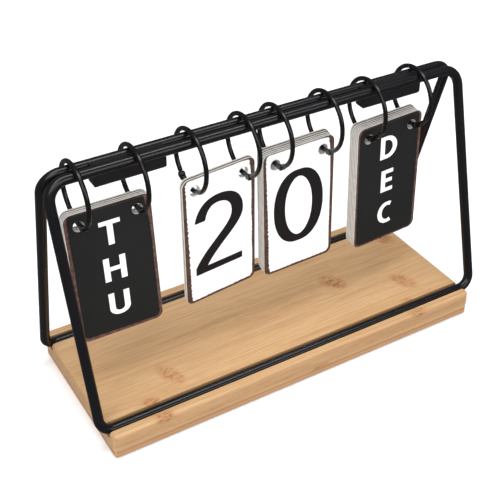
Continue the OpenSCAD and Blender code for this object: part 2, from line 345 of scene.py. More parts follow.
def make_enamel():
    mat = Mat("ring_enamel")
    ripples = mat.noise(scale=1.1, detail=2.0)
    cloud = mat.noise(scale=0.25, roughness=0.6)
    worn = mat.noise(scale=1.3, detail=4.0, roughness=0.7).step(off=0.68, on=0.78)
    colour = mat.mix(cloud, srgb(10, 9, 10), srgb(14, 13, 15))
    colour = mat.stain(colour, worn, srgb(62, 60, 60), strength=0.25)
    # worn places are rougher
    mat.surface(colour, roughness=cloud.remap(to=(0.22, 0.30)) + worn * 0.15, specular=0.38)
    mat.relief(ripples, depth=0.025, strength=0.6)
    return mat.material


def make_rivet():
    mat = Mat("rivet_steel")
    wear = mat.noise(scale=2.4, detail=4.0, roughness=0.65)
    worn = wear.step(off=0.50, on=0.66)
    colour = mat.mix(worn, srgb(22, 21, 23), srgb(96, 93, 92))
    # bare metal shows where the black is worn
    mat.surface(colour, roughness=wear.remap(to=(0.3, 0.45)), specular=0.5, Metallic=worn * 0.8)
    mat.relief(wear, depth=0.03, strength=0.6)
    return mat.material


def make_clip():
    mat = Mat("clip_plastic")
    grit = mat.noise(scale=4.0, roughness=0.6)
    cloud = mat.noise(stretch=(0.05, 0.3, 0.3), roughness=0.6)
    smear = mat.noise(stretch=(0.9, 0.15, 0.4), roughness=0.6)
    colour = mat.mix(cloud, srgb(18, 17, 19), srgb(25, 24, 26))
    mat.surface(colour, roughness=cloud.remap(to=(0.36, 0.46)) + smear.swing(by=0.2),
                specular=0.35)
    mat.relief(grit, depth=0.03, strength=0.6)
    return mat.material


# ------------------------------------------------------------------ card materials
def edge_distance(mat):
    """Distance in mm from a point on a card's face to the card's outline, inside positive."""
    x, _, z = mat.split(mat.place)
    past_x = abs(x) - (CARD_WIDTH / 2 - CARD_CORNER)
    past_z = abs(z) - (CARD_HEIGHT / 2 - CARD_CORNER)
    corner = mat.combine(past_x.math("MAXIMUM", 0.0), 0.0, past_z.math("MAXIMUM", 0.0))
    inner = past_x.math("MAXIMUM", past_z).math("MINIMUM", 0.0)
    return CARD_CORNER - (mat.length(corner) + inner)


def make_print(black, variant):
    mat = Mat(f"print_{'black' if black else 'white'}_{variant}")
    inset = edge_distance(mat)
    # each variant reads the noise somewhere else
    at = mat.vector("ADD", mat.place, (variant * 13.7, variant * 5.1, variant * 29.3))
    paper = mat.noise(at, scale=3.2, detail=4.0, roughness=0.65)
    cloud = mat.noise(at, scale=0.05, roughness=0.55)
    if black:
        colour = mat.mix(cloud, srgb(29, 30, 30), srgb(34, 35, 34))
        flecks = paper.step(off=0.56, on=0.74)
        colour = mat.stain(colour, flecks, srgb(56, 54, 52), strength=0.15)
        # the outermost strip of the print is a little rubbed
        ragged = mat.noise(at, scale=0.8, roughness=0.6).swing(by=1.6)
        rubbed = (inset + ragged).step(off=2.6, on=0.6)
        colour = mat.stain(colour, rubbed, srgb(82, 62, 56), strength=0.28)
        mat.surface(colour, roughness=paper.remap(to=(0.66, 0.78)), specular=0.12)
    else:
        _, _, z = mat.split(mat.place)
        colour = mat.mix(cloud, srgb(246, 245, 245), srgb(250, 249, 249))
        smudge = mat.noise(at, scale=0.09, roughness=0.6).step(off=0.52, on=0.72)
        smudge = smudge * z.step(off=0.0, on=-40.0)
        colour = mat.stain(colour, smudge, srgb(232, 229, 232), strength=0.35)
        ragged = mat.noise(at, scale=1.1, roughness=0.65).swing(by=2.0)
        rim = (inset + ragged).step(off=1.5, on=0.4)
        colour = mat.stain(colour, rim, srgb(150, 120, 104), strength=0.55)
        specks = mat.noise(at, scale=2.1, detail=2.0).step(off=0.74, on=0.79)
        specks = specks * inset.step(off=6.0, on=1.5)
        colour = mat.stain(colour, specks, srgb(120, 86, 72), strength=0.6)
        mat.surface(colour, roughness=paper.remap(to=(0.58, 0.70)), specular=0.25)
    mat.relief(paper, depth=0.02, strength=0.6)
    return mat.material


# browns of the bare board round the print: place on the ramp, colour
DARK_SKIN = [
    (0.30, srgb(62, 43, 36)), (0.48, srgb(77, 55, 46)),
    (0.64, srgb(90, 68, 57)), (0.80, srgb(108, 86, 74)),
]
WARM_SKIN = [
    (0.30, srgb(60, 42, 38)), (0.46, srgb(86, 60, 54)),
    (0.60, srgb(104, 76, 69)), (0.76, srgb(116, 88, 80)),
]


def make_skin(name, stops):
    mat = Mat(name)
    mottle = mat.noise(scale=0.45, detail=4.0, roughness=0.65)
    grit = mat.noise(scale=2.6, roughness=0.6)
    colour = mat.ramp(mottle, stops)
    colour = mat.stain(colour, grit.step(off=0.56, on=0.76), srgb(128, 104, 92), strength=0.25)
    mat.surface(colour, roughness=grit.remap(to=(0.66, 0.82)), specular=0.18)
    mat.relief(mottle + grit, depth=0.05, strength=0.8)
    return mat.material


def make_edge():
    """The cut edge: pale grey layers with darker joints and a stained skin on both faces."""
    mat = Mat("board_edge")
    _, y, _ = mat.split(mat.place)
    depth = abs(y)
    streaks = mat.noise(stretch=(0.35, 5.0, 0.35), roughness=0.6)
    fibre = mat.noise(scale=3.0, roughness=0.6)
    colour = mat.ramp(streaks, [
        (0.28, srgb(196, 192, 184)), (0.5, srgb(226, 223, 216)), (0.72, srgb(242, 241, 237))])
    joints = abs(depth - LAYER_JOINT).step(off=0.09, on=0.02)
    colour = mat.stain(colour, joints, srgb(140, 126, 116), strength=0.5)
    skin = (depth + fibre.swing(by=0.16)).step(off=0.62, on=0.72)
    colour = mat.stain(colour, skin, srgb(66, 54, 49), strength=0.95)
    colour = mat.stain(colour, fibre.step(off=0.62, on=0.78), srgb(130, 108, 96), strength=0.2)
    mat.surface(colour, roughness=0.84, specular=0.15)
    mat.relief(streaks + fibre, depth=0.05, strength=0.8)
    return mat.material


def make_ink(name, white):
    mat = Mat(name)
    grit = mat.noise(scale=3.0, detail=4.0, roughness=0.65)
    cloud = mat.noise(scale=0.12, detail=2.0)
    if white:
        colour = mat.mix(cloud, srgb(250, 250, 250), srgb(244, 244, 243))
        flecks = grit.step(off=0.66, on=0.8)
        colour = mat.stain(colour, flecks, srgb(190, 188, 186), strength=0.25)
    else:
        colour = mat.mix(cloud, srgb(26, 23, 24), srgb(31, 28, 29))
        flecks = grit.step(off=0.62, on=0.8)
        colour = mat.stain(colour, flecks, srgb(84, 78, 78), strength=0.22)
    mat.surface(colour, roughness=grit.remap(to=(0.6, 0.72)), specular=0.12)
    mat.relief(grit, depth=0.015, strength=0.6)
    return mat.material


MATERIALS = {
    "bamboo": make_bamboo(),
    "powder": make_powder(),
    "enamel": make_enamel(),
    "rivet": make_rivet(),
    "clip": make_clip(),
    "skin_dark": make_skin("board_skin_dark", DARK_SKIN),
    "skin_warm": make_skin("board_skin_warm", WARM_SKIN),
    "edge": make_edge(),
    "ink_white": make_ink("ink_white", white=True),
    "ink_dark": make_ink("ink_dark", white=False),
}
PRINT_VARIANTS = 3
for variant in range(PRINT_VARIANTS):
    for black in (True, False):
        MATERIALS["print", black, variant] = make_print(black, variant)


# ------------------------------------------------------------------ CAD nodes that stay
def node_material(name):
    if name == "base_board":
        return MATERIALS["bamboo"]
    if name.endswith("_frame"):
        return MATERIALS["powder"]
    if name.startswith("clip"):
        return MATERIALS["clip"]
    if name.endswith("_rivet"):
        return MATERIALS["rivet"]
    return MATERIALS["enamel"]


def paint(mesh, material):
    mesh.materials.clear()
    mesh.materials.append(material)
    for polygon in mesh.polygons:
        polygon.material_index = 0


def bevel(name, width, segments, angle):
    """Round a node's edges sharper than the angle; width in mm."""
    modifier = nodes[name].modifiers.new("edges", "BEVEL")
    modifier.width = width * MM
    modifier.segments = segments
    modifier.limit_method = "ANGLE"
    modifier.angle_limit = math.radians(angle)


for name, node_object in nodes.items():
    if "_card_" not in name:
        paint(node_object.data, node_material(name))


# ------------------------------------------------------------------ flat shapes
def inside(polygon, point):
    """Even-odd test of a point in a polygon."""
    x, z = point
    start, end = polygon, np.roll(polygon, -1, 0)
    crosses = (start[:, 1] > z) != (end[:, 1] > z)
    # level edges divide by zero, but never cross
    with np.errstate(divide="ignore", invalid="ignore"):
        slope = (z - start[:, 1]) / (end[:, 1] - start[:, 1])
        crossing = start[:, 0] + slope * (end[:, 0] - start[:, 0])
    return bool(np.count_nonzero(crosses & (x < crossing)) % 2)


def triangulate(loops, tolerance):
    """Triangles between closed loops (or two-point lines) of (x, z).

    Returns the points, the triangles with their centres, and each point's origins.
    """
    points, edges = [], []
    for loop in loops:
        first, count = len(points), len(loop)
        points += [Vector((float(x), float(z))) for x, z in loop]
        if count > 2:
            edges += [(first + i, first + (i + 1) % count) for i in range(count)]
        else:
            edges.append((first, first + 1))
    points, _, faces, origins, _, _ = delaunay_2d_cdt(points, edges, [], 0, tolerance, True)
    triangles = [
        (tuple(face), sum((points[i] for i in face), Vector((0.0, 0.0))) / len(face))
        for face in faces]
    return points, triangles, origins


def fill(loops):
    """Triangles between an outer loop and its holes, indexing the joined point list."""
    _, triangles, origins = triangulate(loops, tolerance=1e-7)
    outer, *holes = loops
    return [
        [origins[i][0] for i in face] for face, centre in triangles
        if inside(outer, centre) and not any(inside(hole, centre) for hole in holes)]


# ------------------------------------------------------------------ cards
def card_frame(node):
    """A card's matrix, size and holes (x, z, radius), from its own vertices.

    x runs along its width, y through its thickness to the rear and z up its height.
    """
    points = np.array([v.co for v in nodes[node].data.vertices], float)
    points = np.unique(np.round(points, 7), axis=0)
    mean = points.mean(0)
    # the spread is least through the card and greatest up it
    _, spread = np.linalg.eigh(np.cov((points - mean).T))
    y_axis, x_axis, z_axis = spread[:, 0], spread[:, 1], spread[:, 2]
    x_axis = x_axis * np.sign(x_axis[0])
    y_axis = y_axis * np.sign(y_axis[1])
    z_axis = z_axis * np.sign(z_axis[2])
    axes = np.stack([x_axis, y_axis, z_axis], 1)
    local = (points - mean) @ axes
    low, high = local.min(0), local.max(0)
    middle = (low + high) / 2
    size = high - low
    local = local - middle
    # points clear of the outline, by these metres, belong to the two holes
    clear_x = size[0] / 2 - abs(local[:, 0]) > 0.004
    clear_z = size[2] / 2 - abs(local[:, 2]) > 0.0042
    inner = local[clear_x & clear_z]
    holes = []
    for side in (-1, 1):
        rim = inner[inner[:, 0] * side > 0]
        centre = (rim.min(0) + rim.max(0)) / 2
        radius = (rim[:, 0].max() - rim[:, 0].min()) / 2
        holes.append((centre[0] / MM, centre[2] / MM, radius / MM))
    matrix = Matrix(axes.tolist()).to_4x4()
    matrix.translation = (mean + axes @ middle).tolist()
    return matrix, size / MM, holes


def outline(width, height):
    """Evenly spaced points round the card, outward normals and the share walked."""
    r = CARD_CORNER
    x, z = width / 2 - r, height / 2 - r
    segments = []
    for k, (centre_x, centre_z) in enumerate(((x, z), (-x, z), (-x, -z), (x, -z))):
        side = width - 2 * r if k % 2 == 0 else height - 2 * r
        segments.append(("arc", centre_x, centre_z, k * math.pi / 2, math.pi / 2 * r))
        segments.append(("line", centre_x, centre_z, (k + 1) * math.pi / 2, side))
    total = sum(segment[4] for segment in segments)
    points, normals, walk = [], [], []
    for i in range(OUTLINE_POINTS):
        left = total * i / OUTLINE_POINTS
        walk.append(left / total)
        for kind, centre_x, centre_z, angle, length in segments:
            if left <= length:
                along = 0.0
                if kind == "arc":
                    angle += left / r
                else:
                    along = left
                nx, nz = math.cos(angle), math.sin(angle)
                points.append((centre_x + r * nx - nz * along, centre_z + r * nz + nx * along))
                normals.append((nx, nz))
                break
            left -= length
    return np.array(points), np.array(normals), np.array(walk)


def ripple(walk, rng, fewest, most, height, sharp=False):
    """A closed curve of small waves round the card, fewest to most waves to the turn."""
    total = np.zeros_like(walk)
    counts = [rng.randint(fewest, most) for _ in range(7)]
    for count in counts:
        phase = rng.uniform(0, 2 * math.pi)
        wave = np.sin(2 * math.pi * count * walk + phase)
        total += (np.abs(wave) * 2 - 1 if sharp else wave) * rng.uniform(0.5, 1.0)
    return total * height / math.sqrt(len(counts))


def film_inset(points, normals, walk, width, height, rng, stack):
    """How far in mm the printed film stops short of the card's outline, all the way round."""
    up = np.clip((points[:, 1] + height / 2) / height, 0, 1)
    across = np.clip((points[:, 0] + width / 2) / width, 0, 1)
    nx, nz = normals[:, 0], normals[:, 1]
    left, right, top, bottom = (np.clip(n, 0, 1) ** 2 for n in (-nx, nx, nz, -nz))
    # base is each side's margin; corners are top left, top right, bottom left, bottom right
    if stack == "day":
        near_top = np.clip((up - 0.78) / 0.2, 0, 1)
        base = (left * 2.1 + right * (2.1 + 2.4 * near_top)
                + top * (0.25 + 1.6 * np.clip((across - 0.72) / 0.28, 0, 1))
                + bottom * (2.6 - 1.0 * across))
        wave, corners, least = 0.16, (0.3, 1.2, 0.5, 0.6), 0.26
    elif stack == "month":
        base = (left * 1.3 + right * 2.1
                + top * (0.25 + 1.0 * np.clip((0.28 - across) / 0.28, 0, 1)) + bottom * 1.2)
        wave, corners, least = 0.15, (0.9, 0.5, 0.4, 0.5), 0.26
    else:
        base = (left * (2.0 + 1.6 * (1 - up))
                + right * (2.2 + 0.8 * up + 1.0 * np.clip((up - 0.86) / 0.1, 0, 1))
                + top * (0.6 + 1.3 * np.clip((across - 0.8) / 0.2, 0, 1)) + bottom * 1.75)
        wave, corners, least = 0.3, (0.2, 1.3, 0.9, 0.4), 0.34
    corner = np.where(nz > 0, np.where(nx < 0, corners[0], corners[1]),
                      np.where(nx < 0, corners[2], corners[3]))
    inset = base + np.clip(np.abs(nx * nz) * 2, 0, 1) * corner
    # the date cards are more ragged low on the left
    ragged = (0.45 + (1.1 + 1.3 * (stack in ("tens", "units")) * (1 - up)) * left
              + 0.25 * right - 0.25 * top + 1.0 * bottom)
    inset = (inset + ripple(walk, rng, 3, 14, wave * 0.7) * (1 - 0.6 * top)
             + ripple(walk, rng, 24, 60, wave * 0.8, sharp=True) * ragged)
    return np.clip(inset, least, 4.6)


def add_piece(name, mesh, matrix, node, merge=False):
    """Tidy a mesh, stand it at a card's place and tie it to the card's node."""
    bm = bmesh.new()
    bm.from_mesh(mesh)
    if merge:
        bmesh.ops.remove_doubles(bm, verts=bm.verts, dist=1e-7)
    bmesh.ops.recalc_face_normals(bm, faces=bm.faces)
    bm.to_mesh(mesh)
    bm.free()
    mesh.update()
    piece = bpy.data.objects.new(name, mesh)
    scene.collection.objects.link(piece)
    piece.matrix_world = matrix
    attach(piece, node)
    return piece


PRINT, SKIN, EDGE = range(3)             # material slots of a board


def build_board(node, seed, black, stack):
    """The card without its lettering: printed faces, bare skin, cut edge and two holes."""
    matrix, (width, thickness, height), holes = card_frame(node)
    half = thickness / 2
    rng = random.Random(seed)
    points, normals, walk = outline(width, height)
    chips = (ripple(walk, rng, 8, 40, 0.08) + np.abs(normals[:, 0] * normals[:, 1]) * 0.2)
    chips = np.clip(chips, 0.0, 0.3)
    front_film, back_film = (
        film_inset(points, normals, walk, width, height, rng, stack) for _ in range(2))
    wobble = ripple(walk, rng, 20, 60, 0.02) + 0.035

    def half_profile(film):
        """Rings from the front face to mid-thickness: inset, y."""
        return [
            (film, -half), (film - 0.04, -half + FILM),
            (0.20 + chips * 0.15, -half + FILM), (0.10 + chips * 0.3, -half + 0.12),
            (0.03 + chips * 0.35, -half + 0.22), (wobble + chips * 0.3, -0.33),
            # a groove at the layer joint
            (wobble + 0.01, -LAYER_JOINT - 0.03), (wobble + 0.09, -LAYER_JOINT),
            (wobble + 0.01, -LAYER_JOINT + 0.03),
        ]

    def mirrored(rings):
        return [(inset, -y) for inset, y in reversed(rings)]

    profile = half_profile(front_film) + [(wobble, 0.0)] + mirrored(half_profile(back_film))
    # extra radius, y
    hole_half = [(0.24, -half), (0.08, -half + 0.07), (0.0, -half + 0.20)]
    hole_profile = hole_half + [(0.0, 0.0)] + mirrored(hole_half)

    vertices, faces, slots, smooth = [], [], [], []
    for inset, y in profile:
        vertices.append(np.column_stack([
            points[:, 0] - normals[:, 0] * inset, np.full(OUTLINE_POINTS, y),
            points[:, 1] - normals[:, 1] * inset]))
    last = len(profile) - 1
    for k in range(last):
        a, b = k * OUTLINE_POINTS, (k + 1) * OUTLINE_POINTS
        is_edge = 2 < k < last - 3
        for i in range(OUTLINE_POINTS):
            j = (i + 1) % OUTLINE_POINTS
            faces.append((a + i, a + j, b + j, b + i))
            slots.append(EDGE if is_edge else SKIN)
            smooth.append(is_edge)

    angles = np.arange(HOLE_POINTS) * 2 * math.pi / HOLE_POINTS
    first_free = len(profile) * OUTLINE_POINTS
    hole_starts = []
    for hole_x, hole_z, hole_radius in holes:
        starts = [first_free + k * HOLE_POINTS for k in range(len(hole_profile))]
        first_free += len(hole_profile) * HOLE_POINTS
        hole_starts.append(starts)
        for extra, y in hole_profile:
            # the rims on the two faces are slightly ragged
            ragged = 0.03 * np.sin(angles * 7 + hole_x) if extra > 0.2 else 0.0
            radius = hole_radius + 0.01 + extra + ragged
            vertices.append(np.column_stack([
                hole_x + radius * np.cos(angles), np.full(HOLE_POINTS, y),
                hole_z + radius * np.sin(angles)]))
        for a, b in zip(starts, starts[1:]):
            for i in range(HOLE_POINTS):
                j = (i + 1) % HOLE_POINTS
                faces.append((a + i, b + i, b + j, a + j))
                slots.append(EDGE)
                smooth.append(True)

    vertices = np.vstack(vertices)
    for ring, hole_ring in ((0, 0), (last, -1)):
        start = ring * OUTLINE_POINTS
        loops = [list(range(start, start + OUTLINE_POINTS))]
        for starts in hole_starts:
            loops.append(list(range(starts[hole_ring], starts[hole_ring] + HOLE_POINTS)))
        indices = sum(loops, [])
        for triangle in fill([vertices[loop][:, [0, 2]] for loop in loops]):
            faces.append(tuple(indices[i] for i in triangle))
            slots.append(PRINT)
            smooth.append(False)

    name = node + "_board"
    mesh = bpy.data.meshes.new(name)
    mesh.from_pydata((vertices * MM).tolist(), [], faces)
    mesh.polygons.foreach_set("material_index", slots)
    mesh.polygons.foreach_set("use_smooth", smooth)
    mesh.materials.append(MATERIALS["print", black, seed % PRINT_VARIANTS])
    mesh.materials.append(MATERIALS["skin_warm" if black else "skin_dark"])
    mesh.materials.append(MATERIALS["edge"])
    board = add_piece(name, mesh, matrix, node, merge=True)
    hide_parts(node)
    return matrix, half


# ------------------------------------------------------------------ letter and digit shapes
def arc(x, z, half_width, half_height, start, end, steps=20, power=2.0):
    """Points on an ellipse, angles in degrees; a power above 2 squares it up."""
    points = []
    for i in range(steps + 1):
        angle = math.radians(start + (end - start) * i / steps)
        c, s = math.cos(angle), math.sin(angle)
        points.append((x + half_width * math.copysign(abs(c) ** (2 / power), c),
                       z + half_height * math.copysign(abs(s) ** (2 / power), s)))
    return points


def oval(x, z, half_width, half_height, steps, overlap=5, power=2.0):
    """A closed ring as an upper and a lower arc that overlap by some degrees."""
    return [
        arc(x, z, half_width, half_height, a - overlap, a + 180 + overlap, steps, power)
        for a in (0, 180)]


def curve(points, steps=24):
    """Bezier curves end to end: a start, then two handles and an end for each."""
    line = []
    for first in range(0, len(points) - 1, 3):
        a, b, c, d = points[first:first + 4]
        for i in range(1 if line else 0, steps + 1):
            t = i / steps
            line.append(tuple(
                (1 - t) ** 3 * a[k] + 3 * (1 - t) ** 2 * t * b[k]
                + 3 * (1 - t) * t * t * c[k] + t ** 3 * d[k] for k in (0, 1)))
    return line


def sweep(line, thick, thin, power):
    """A pen stroke on a centre line: thick running up and down, thin running across."""
    points = np.array(line, float)
    keep = [0] + [i for i in range(1, len(points))
                  if np.linalg.norm(points[i] - points[i - 1]) > 1e-6]
    points = points[keep]
    runs = np.diff(points, axis=0)
    runs /= np.linalg.norm(runs, axis=1)[:, None]
    tangents = np.vstack([runs[:1], runs[:-1] + runs[1:], runs[-1:]])
    lengths = np.linalg.norm(tangents, axis=1)
    lengths[lengths < 1e-9] = 1
    tangents = tangents / lengths[:, None]
    # widen at bends so that the mitre keeps the stroke's weight
    mitre = np.ones(len(points))
    mitre[1:-1] = np.clip((tangents[1:-1] * runs[:-1]).sum(1), 0.45, 1)
    half = 0.5 * (thin + (thick - thin) * np.abs(tangents[:, 1]) ** power) / mitre
    across = np.column_stack([-tangents[:, 1], tangents[:, 0]])
    left, right = points + across * half[:, None], points - across * half[:, None]
    return [np.vstack([left[i], left[i + 1], right[i + 1], right[i]])
            for i in range(len(points) - 1)]


def pen(*lines, thick=DIGIT_STEM, thin=DIGIT_BAR, power=1.3):
    return [quad for line in lines for quad in sweep(line, thick, thin, power)]


def stem(x, top=CAP_HEIGHT):
    return [(x, 0), (x, top)]


def bar(start, end, z):
    return [(start, z), (end, z)]


def bowl(join, z, half_width, half_height):
    """The right-hand half of a round, closed back to the left stem."""
    return ([(HALF_STEM, z + half_height)]
            + [(join, z + half_height)] + arc(join, z, half_width, half_height, 90, -90))


V, H, CAP = HALF_STEM, HALF_BAR, CAP_HEIGHT
MID = CAP / 2
# plain bold capitals: width, and the centre lines of the strokes for that width
LETTERS = {
    "T": (13.5, lambda w: [bar(0, w, CAP_TOP), stem(w / 2, CAP_TOP)]),
    "H": (14.4, lambda w: [stem(V), stem(w - V), bar(V, w - V, CAP * 0.51)]),
    "U": (13.8, lambda w: [
        [(V, CAP), (V, 5.6)] + arc(w / 2, 5.6, w / 2 - V, 5.6 - H, 180, 360)
        + [(w - V, 5.6), (w - V, CAP)]]),
    "D": (14.4, lambda w: [
        stem(V), bowl(5.4, MID, w - V - 5.4, MID - H) + [(5.4, H), (V, H)]]),
    "E": (10.4, lambda w: [
        stem(V), bar(V, w, H), bar(V, w, CAP_TOP), bar(V, w - 0.7, CAP * 0.51)]),
    "C": (13.4, lambda w: [arc(8.4, MID, 8.4 - V, MID - H + 0.2, 62, 298, 30)]),
    "F": (10.2, lambda w: [stem(V), bar(V, w, CAP_TOP), bar(V, w - 0.9, CAP * 0.5)]),
    "R": (12.8, lambda w: [
        stem(V),
        bar(V, 6, CAP_TOP) + arc(6, 12.1, w - V - 6.4, 12.1 - 8.5, 90, -90) + [(V, 8.5)],
        [(6.0, 8.5), (w - 1.4, -0.6)]]),
    "I": (3.8, lambda w: [stem(V)]),
    "S": (12, lambda w: [
        arc(6.4, 12.5, 4.3, 3.3, 40, 180, 16) + arc(6.0, 12.5, 3.9, 3.4, 180, 250, 8)
        + [(6.4, 8.6)]
        + arc(5.6, 4.7, 4.5, 3.5, 62, 0, 8) + arc(5.6, 4.9, 4.5, 3.5, 0, -140, 16)]),
    "A": (15, lambda w: [
        [(1.6, -0.5), (w / 2, CAP + 1.2)], [(w / 2, CAP + 1.2), (w - 1.6, -0.5)],
        bar(3.6, w - 3.6, 5.0)]),
    "M": (17.5, lambda w: [
        stem(V), stem(w - V), [(1.5, CAP + 0.4), (w / 2, 3.2)],
        [(w / 2, 3.2), (w - 1.5, CAP + 0.4)]]),
    "O": (16.4, lambda w: oval(w / 2, MID, w / 2 - V, MID - H + 0.1, 30)),
    "N": (14.6, lambda w: [stem(V), stem(w - V), [(1.4, CAP + 0.4), (w - 1.4, -0.4)]]),
    "W": (20.6, lambda w: [
        [(1.3, CAP + 0.6), (5.9, -0.9)], [(5.9, -0.9), (w / 2, CAP - 1.2)],
        [(w / 2, CAP - 1.2), (w - 5.9, -0.9)], [(w - 5.9, -0.9), (w - 1.3, CAP + 0.6)]]),
    "J": (9.4, lambda w: [
        [(w - V, CAP), (w - V, 5.2)] + arc(3.6, 5.2, w - V - 3.6, 5.2 - H, 0, -125, 16)]),
    "B": (12.6, lambda w: [
        stem(V), bar(V, 6, CAP_TOP) + arc(6, 12.35, 4.0, 12.35 - 9.0, 90, -90) + [(V, 9.0)],
        bar(V, 6, 9.0) + arc(6, 5.25, 4.7, 3.75, 90, -90) + [(V, H)]]),
    "P": (12.2, lambda w: [
        stem(V), bar(V, 6, CAP_TOP) + arc(6, 11.7, 4.3, 11.7 - 7.7, 90, -90) + [(V, 7.7)]]),
    "L": (10, lambda w: [stem(V), bar(V, w, H)]),
    "G": (15, lambda w: [
        arc(8.6, MID, 8.6 - V, MID - H + 0.2, 55, 330, 34) + [(13.0, 5.6)],
        bar(9.0, 15.0, 8.0), [(13.1, 8.0), (13.1, 2.4)]]),
    "V": (14.6, lambda w: [
        [(1.4, CAP + 0.6), (w / 2, -1.2)], [(w / 2, -1.2), (w - 1.4, CAP + 0.6)]]),
    "Y": (14.2, lambda w: [
        [(1.2, CAP + 0.6), (w / 2, 7.6)], [(w - 1.2, CAP + 0.6), (w / 2, 7.6)],
        stem(w / 2, 8.2)]),
}

# Bezier points (x, z) of the two sides of the 2, from its upper and lower left ends
TWO_OUTER = [
    (0.0, 40.0), (2.2, 50.4), (8.6, 56.4), (19.4, 56.4), (31.2, 56.4), (37.8, 49.6),
    (37.8, 39.6), (37.8, 31.4), (29.4, 25.4), (21.4, 18.2), (16.0, 13.4), (11.4, 8.6),
    (9.3, 5.0),
]
TWO_INNER = [
    (0.0, 5.6), (4.6, 13.6), (11.0, 18.6), (17.4, 24.4), (24.6, 31.0), (28.7, 34.6),
    (28.7, 40.6), (28.7, 46.6), (25.0, 50.4), (18.2, 50.4), (12.4, 50.4), (9.4, 46.2),
    (8.2, 40.0),
]
TWO_FOOT = [(36.8, 5.0), (36.8, 0.0), (0.0, 0.0)]

DV, DH, TALL = DIGIT_STEM / 2, DIGIT_BAR / 2, DIGIT_HEIGHT
# large digits: width, and the polygons for that width
DIGITS = {
    "0": (39.2, lambda w: pen(
        *oval(w / 2, TALL / 2, w / 2 - DV, TALL / 2 - DH, 52, overlap=4, power=2.15))),
    "1": (19.0, lambda w: (
        pen(stem(w - DV, TALL))
        + pen([(0.6, 45.5), (w - DV + 1.5, 54.8)], thick=6.4, thin=6.4))),
    "2": (37.8, lambda w: [
        np.array(curve(TWO_OUTER, steps=14) + TWO_FOOT + curve(TWO_INNER, steps=14))]),
    "3": (35.0, lambda w: pen(
        arc(15.5, 42.6, 13.2, 11.1, 150, -62, 34), arc(15.5, 15.2, 15.0, 12.6, 78, -148, 38),
        bar(11.0, 21.0, 29.2))),
    "4": (41.0, lambda w: (
        pen(stem(28.6, TALL), bar(0.0, w, 15.2))
        + pen([(2.2, 14.0), (26.6, 55.4)], thick=6.6, thin=6.6))),
    "5": (35.0, lambda w: (
        pen(bar(5.6, 32.5, 53.7)) + pen([(6.0, 30.0), (7.6, 55.0)], thick=6.4, thin=6.0)
        + pen([(5.8, 31.0), (12.0, 34.6)] + arc(15.5, 17.4, 15.0, 14.9, 82, -146, 40)))),
    "6": (38.0, lambda w: (
        pen(*oval(w / 2, 17.6, w / 2 - DV, 15.0, 32))
        + pen(curve([(DV, 17.6), (DV, 37.0), (14.0, 50.5), (31.0, 54.6)]), thin=5.6))),
    "7": (37.0, lambda w: (
        pen(bar(0, w - 1.5, TALL - DH))
        + pen(curve([(33.2, 54.6), (22.0, 38.0), (16.0, 22.0), (13.6, 0.0)]),
              thick=8.2, thin=7.4))),
    "8": (37.0, lambda w: pen(
        *oval(w / 2, 42.2, 12.6, 11.5, 32), *oval(w / 2, 15.4, 14.0, 12.8, 32))),
    "9": (38.0, lambda w: (
        pen(*oval(w / 2, TALL - 17.6, w / 2 - DV, 15.0, 32))
        + pen(curve([(w - DV, TALL - 17.6), (w - DV, TALL - 37.0),
                     (24.0, TALL - 50.5), (7.0, TALL - 54.6)]), thin=5.6))),
}
# middle x and foot z of a digit on its card
DIGIT_PLACE = (-0.4, -26.6)
DIGIT_PLACES = {"2": (-0.9, -26.4), "0": (-0.2, -27.0)}
# middle x, foot z of the top letter and pitch down the card
DAY_COLUMN = (0.0, 19.3, 26.4)
MONTH_COLUMN = (-0.5, 18.4, 26.6)


def shape_mesh(glyphs, top_y, bottom_y, flip):
    """Closed flat solids between top_y and bottom_y, cut off level at foot and head.

    Each glyph is its polygons, x shift, z shift and height.
    """
    vertices, faces = [], []
    for polygons, shift_x, shift_z, height in glyphs:
        every = np.vstack(polygons)
        x0, x1 = every[:, 0].min() - 2, every[:, 0].max() + 2
        foot, head = bar(x0, x1, 0.0), bar(x0, x1, height)
        points, candidates, _ = triangulate(polygons + [foot, head], tolerance=1e-5)
        triangles = []
        for face, centre in candidates:
            near = (p for p in polygons if p[:, 0].min() <= centre[0] <= p[:, 0].max()
                    and p[:, 1].min() <= centre[1] <= p[:, 1].max())
            if -1e-6 <= centre[1] <= height + 1e-6 and any(inside(p, centre) for p in near):
                triangles.append(face)
        sides = dict.fromkeys(
            pair for face in triangles for pair in zip(face, face[1:] + face[:1]))
        used = sorted({i for face in triangles for i in face})
        layers = []
        for y in (top_y, bottom_y):
            layers.append({i: len(vertices) + k for k, i in enumerate(used)})
            vertices += [(points[i][0] + shift_x, y, points[i][1] + shift_z) for i in used]
        top, bottom = layers
        for face in triangles:
            faces.append([top[i] for i in face])
            faces.append([bottom[i] for i in reversed(face)])
        for a, b in sides:
            if (b, a) not in sides:
                faces.append([top[b], top[a], bottom[a], bottom[b]])
    vertices = np.array(vertices)
    if flip:
        vertices[:, 0] = -vertices[:, 0]
    return vertices, faces


def text_glyphs(text, stack):
    if text in DIGITS:
        width, polygons = DIGITS[text]
        x, z = DIGIT_PLACES.get(text, DIGIT_PLACE)
        return [(polygons(width), -width / 2 + x, z, DIGIT_HEIGHT)]
    x, z, pitch = DAY_COLUMN if stack == "day" else MONTH_COLUMN
    glyphs = []
    for k, letter in enumerate(text):
        width, strokes = LETTERS[letter]
        polygons = pen(*strokes(width), thick=2 * HALF_STEM, thin=2 * HALF_BAR, power=1.6)
        glyphs.append((polygons, -width / 2 + x, z - pitch * k, CAP_HEIGHT))
    return glyphs


